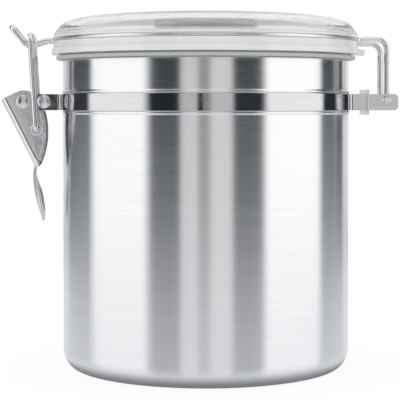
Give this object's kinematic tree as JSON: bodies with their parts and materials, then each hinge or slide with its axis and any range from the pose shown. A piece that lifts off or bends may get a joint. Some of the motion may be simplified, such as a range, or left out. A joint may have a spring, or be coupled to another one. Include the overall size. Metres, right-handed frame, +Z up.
{
  "type": "coffee canister with valve",
  "caption": "Round steel canister with a clear domed clamp lid, wire bail and over-centre lever, wire hinge and a one-way valve in the lid.",
  "frame": {"origin": "centre of the underside, on the can's axis", "axes": "+Z up along the can, +X towards the hinge, -X towards the latch, +Y to the back"},
  "size_m": [0.1755, 0.1372, 0.1568],
  "materials": {
    "brushed_steel": "brushed round the can",
    "polished_steel": "polished sheet",
    "rivet_steel": "bright",
    "wire_steel": "polished wire",
    "clear_plastic": "clear, polished",
    "silicone": "translucent, matt",
    "grey_plastic": "satin",
    "filter_paper": "matt felt"
  },
  "bodies": {
    "root": {"can_body": "brushed_steel", "band_front": "polished_steel", "band_rear": "polished_steel", "band_rivet": "rivet_steel", "band_spacer": "rivet_steel", "pivot_rivet": "rivet_steel", "pivot_spacer": "rivet_steel", "keeper_plate": "polished_steel"},
    "lever": {"lever": "polished_steel"},
    "bail": {"bail": "wire_steel"},
    "lid": {"lid_wire": "wire_steel", "lid_shell": "clear_plastic", "lid_gasket": "silicone", "valve_body": "grey_plastic", "valve_seal": "silicone", "valve_filter": "filter_paper", "filter_ring": "grey_plastic", "valve_cap": "grey_plastic"},
    "valve_disc": {"valve_disc": "silicone"}
  },
  "joints": [
    {"name": "lever_swing", "type": "hinge", "parent": "root", "child": "lever", "pos_m": [-0.081, 0, 0.1176], "axis": [0, 1, 0], "range_deg": [0, 110]},
    {"name": "bail_swing", "type": "hinge", "parent": "lever", "child": "bail", "pos_m": [-0.075, 0, 0.1052], "axis": [0, 1, 0], "range_deg": [-77, 0]},
    {"name": "lid_hinge", "type": "hinge", "parent": "root", "child": "lid", "pos_m": [0.0795, 0, 0.1183], "axis": [0, 1, 0], "range_deg": [0, 105]},
    {"name": "valve_lift", "type": "slide", "parent": "lid", "child": "valve_disc", "axis": [0, 0, 1], "range_m": [0, 0.0008]}
  ],
  "couplings": [
    {"joint": "bail_swing", "follows": "lever_swing", "ratio": -0.7}
  ]
}
